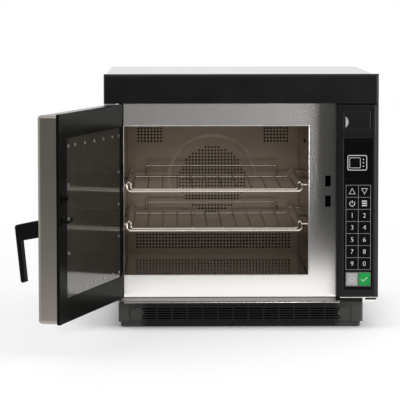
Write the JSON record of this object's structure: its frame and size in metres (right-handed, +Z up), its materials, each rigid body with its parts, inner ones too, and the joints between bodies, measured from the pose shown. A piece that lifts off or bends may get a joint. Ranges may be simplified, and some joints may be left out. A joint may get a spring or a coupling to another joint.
{
  "type": "high-speed oven",
  "caption": "Countertop high-speed oven with a side-hinged door, wire racks, a rear convection fan, a keypad column and a black base with an intake filter.",
  "frame": {"origin": "centre of the casing's footprint, on the flat underside of the base, 3 mm above the counter that the feet stand on", "axes": "+Z up; the front, with the door opening and the keypad, faces -Y; +X is to the right as seen from the front, with the door hinge at -X"},
  "size_m": [0.628, 0.9829, 0.4573],
  "materials": {
    "casing_steel": "fine vertical grain, satin",
    "front_steel": "vertical grain, satin",
    "door_steel": "vertical grain, satin",
    "door_panel_steel": "dark, polished",
    "cavity_steel": "warm tinted, satin",
    "zinc_sheet": "zinc plated",
    "chrome_wire": "bright",
    "screw_steel": "bright",
    "black_moulding": "fine texture",
    "base_plastic": "fine texture",
    "bezel_plastic": "semi-gloss",
    "handle_plastic": "smooth",
    "overlay_film": "semi-gloss",
    "key_black": "satin",
    "key_grey": "satin",
    "key_green": "satin",
    "display_glass": "clear over a dark display",
    "shelf_ceramic": "dark, glossy",
    "foot_rubber": "matte",
    "fibre": "felted mineral fibre",
    "motor_paint": "satin",
    "core_iron": "varnished",
    "cast_aluminium": "plain",
    "heater_sheath": "oxidised",
    "circuit_board": "lacquered"
  },
  "bodies": {
    "cabinet": {"outer_wrap": "casing_steel", "back_panel": "zinc_sheet", "cabinet_screws": "screw_steel", "mains_gland": "black_moulding", "base_pan": "zinc_sheet", "base_skirt": "base_plastic", "feet": "foot_rubber", "front_frame": "front_steel", "sill_trim": "front_steel", "cavity_liner": "cavity_steel", "fan_baffle": "cavity_steel", "floor_shelf": "shelf_ceramic", "rack_supports": "chrome_wire", "heating_element": "heater_sheath", "fan_motor": "motor_paint", "insulation": "fibre", "waveguides": "zinc_sheet", "magnetrons": "cast_aluminium", "transformers": "core_iron", "blower_housing": "zinc_sheet", "blower_motor": "motor_paint", "interlock_switches": "black_moulding", "top_bezel": "bezel_plastic", "keypad_overlay": "overlay_film", "display_window": "display_glass", "service_port": "screw_steel", "control_housing": "bezel_plastic", "control_board": "circuit_board", "hinge_brackets": "zinc_sheet", "hinge_pins": "screw_steel"},
    "filter": {"filter_grille": "black_moulding"},
    "fan": {"fan_impeller": "zinc_sheet", "fan_shaft": "screw_steel"},
    "blower": {"blower_wheel": "zinc_sheet"},
    "port_flap": {"port_cover": "bezel_plastic"},
    "door": {"door_skin": "door_steel", "door_core": "zinc_sheet", "choke_cover": "black_moulding", "door_panel": "door_panel_steel", "door_screws": "screw_steel", "door_handle": "handle_plastic"},
    "latch": {"latch_hooks": "black_moulding"},
    "rack_above": {"upper_rack": "chrome_wire"},
    "rack_below": {"lower_rack": "chrome_wire"},
    "button_up": {"key_up": "key_black"},
    "button_down": {"key_down": "key_black"},
    "button_power": {"key_power": "key_black"},
    "button_menu": {"key_menu": "key_black"},
    "button_1": {"key_1": "key_black"},
    "button_2": {"key_2": "key_black"},
    "button_3": {"key_3": "key_black"},
    "button_4": {"key_4": "key_black"},
    "button_5": {"key_5": "key_black"},
    "button_6": {"key_6": "key_black"},
    "button_7": {"key_7": "key_black"},
    "button_8": {"key_8": "key_black"},
    "button_9": {"key_9": "key_black"},
    "button_0": {"key_0": "key_black"},
    "button_stop": {"key_stop": "key_grey"},
    "button_start": {"key_start": "key_green"}
  },
  "joints": [
    {"name": "door_hinge", "type": "hinge", "parent": "cabinet", "child": "door", "pos_m": [-0.2295, -0.301, 0.227], "axis": [0, 0, -1], "range_deg": [-104.15, 0]},
    {"name": "latch_release", "type": "slide", "parent": "door", "child": "latch", "axis": [0, 0, -1], "range_m": [0, 0.005], "stiffness_N_per_m": 400, "springref_m": -0.01},
    {"name": "upper_rack_slide", "type": "slide", "parent": "cabinet", "child": "rack_above", "axis": [0, -1, 0], "range_m": [0, 0.25]},
    {"name": "lower_rack_slide", "type": "slide", "parent": "cabinet", "child": "rack_below", "axis": [0, -1, 0], "range_m": [0, 0.25]},
    {"name": "port_cover_hinge", "type": "hinge", "parent": "cabinet", "child": "port_flap", "pos_m": [0.22885, -0.3096, 0.371], "axis": [0, 0, 1], "range_deg": [0, 90]},
    {"name": "filter_slide", "type": "slide", "parent": "cabinet", "child": "filter", "axis": [0, -1, 0], "range_m": [0, 0.04]},
    {"name": "fan_spin", "type": "hinge", "parent": "cabinet", "child": "fan", "pos_m": [-0.0445, 0.12, 0.236], "axis": [0, 1, 0], "continuous": true},
    {"name": "blower_spin", "type": "hinge", "parent": "cabinet", "child": "blower", "pos_m": [0.1925, 0.207, 0.252], "axis": [0, 1, 0], "continuous": true},
    {"name": "press_up", "type": "slide", "parent": "cabinet", "child": "button_up", "axis": [0, 1, 0], "range_m": [0, 0.0006], "stiffness_N_per_m": 1500, "springref_m": -0.0004},
    {"name": "press_down", "type": "slide", "parent": "cabinet", "child": "button_down", "axis": [0, 1, 0], "range_m": [0, 0.0006], "stiffness_N_per_m": 1500, "springref_m": -0.0004},
    {"name": "press_power", "type": "slide", "parent": "cabinet", "child": "button_power", "axis": [0, 1, 0], "range_m": [0, 0.0006], "stiffness_N_per_m": 1500, "springref_m": -0.0004},
    {"name": "press_menu", "type": "slide", "parent": "cabinet", "child": "button_menu", "axis": [0, 1, 0], "range_m": [0, 0.0006], "stiffness_N_per_m": 1500, "springref_m": -0.0004},
    {"name": "press_1", "type": "slide", "parent": "cabinet", "child": "button_1", "axis": [0, 1, 0], "range_m": [0, 0.0006], "stiffness_N_per_m": 1500, "springref_m": -0.0004},
    {"name": "press_2", "type": "slide", "parent": "cabinet", "child": "button_2", "axis": [0, 1, 0], "range_m": [0, 0.0006], "stiffness_N_per_m": 1500, "springref_m": -0.0004},
    {"name": "press_3", "type": "slide", "parent": "cabinet", "child": "button_3", "axis": [0, 1, 0], "range_m": [0, 0.0006], "stiffness_N_per_m": 1500, "springref_m": -0.0004},
    {"name": "press_4", "type": "slide", "parent": "cabinet", "child": "button_4", "axis": [0, 1, 0], "range_m": [0, 0.0006], "stiffness_N_per_m": 1500, "springref_m": -0.0004},
    {"name": "press_5", "type": "slide", "parent": "cabinet", "child": "button_5", "axis": [0, 1, 0], "range_m": [0, 0.0006], "stiffness_N_per_m": 1500, "springref_m": -0.0004},
    {"name": "press_6", "type": "slide", "parent": "cabinet", "child": "button_6", "axis": [0, 1, 0], "range_m": [0, 0.0006], "stiffness_N_per_m": 1500, "springref_m": -0.0004},
    {"name": "press_7", "type": "slide", "parent": "cabinet", "child": "button_7", "axis": [0, 1, 0], "range_m": [0, 0.0006], "stiffness_N_per_m": 1500, "springref_m": -0.0004},
    {"name": "press_8", "type": "slide", "parent": "cabinet", "child": "button_8", "axis": [0, 1, 0], "range_m": [0, 0.0006], "stiffness_N_per_m": 1500, "springref_m": -0.0004},
    {"name": "press_9", "type": "slide", "parent": "cabinet", "child": "button_9", "axis": [0, 1, 0], "range_m": [0, 0.0006], "stiffness_N_per_m": 1500, "springref_m": -0.0004},
    {"name": "press_0", "type": "slide", "parent": "cabinet", "child": "button_0", "axis": [0, 1, 0], "range_m": [0, 0.0006], "stiffness_N_per_m": 1500, "springref_m": -0.0004},
    {"name": "press_stop", "type": "slide", "parent": "cabinet", "child": "button_stop", "axis": [0, 1, 0], "range_m": [0, 0.0006], "stiffness_N_per_m": 1500, "springref_m": -0.0004},
    {"name": "press_start", "type": "slide", "parent": "cabinet", "child": "button_start", "axis": [0, 1, 0], "range_m": [0, 0.0006], "stiffness_N_per_m": 1500, "springref_m": -0.0004}
  ]
}
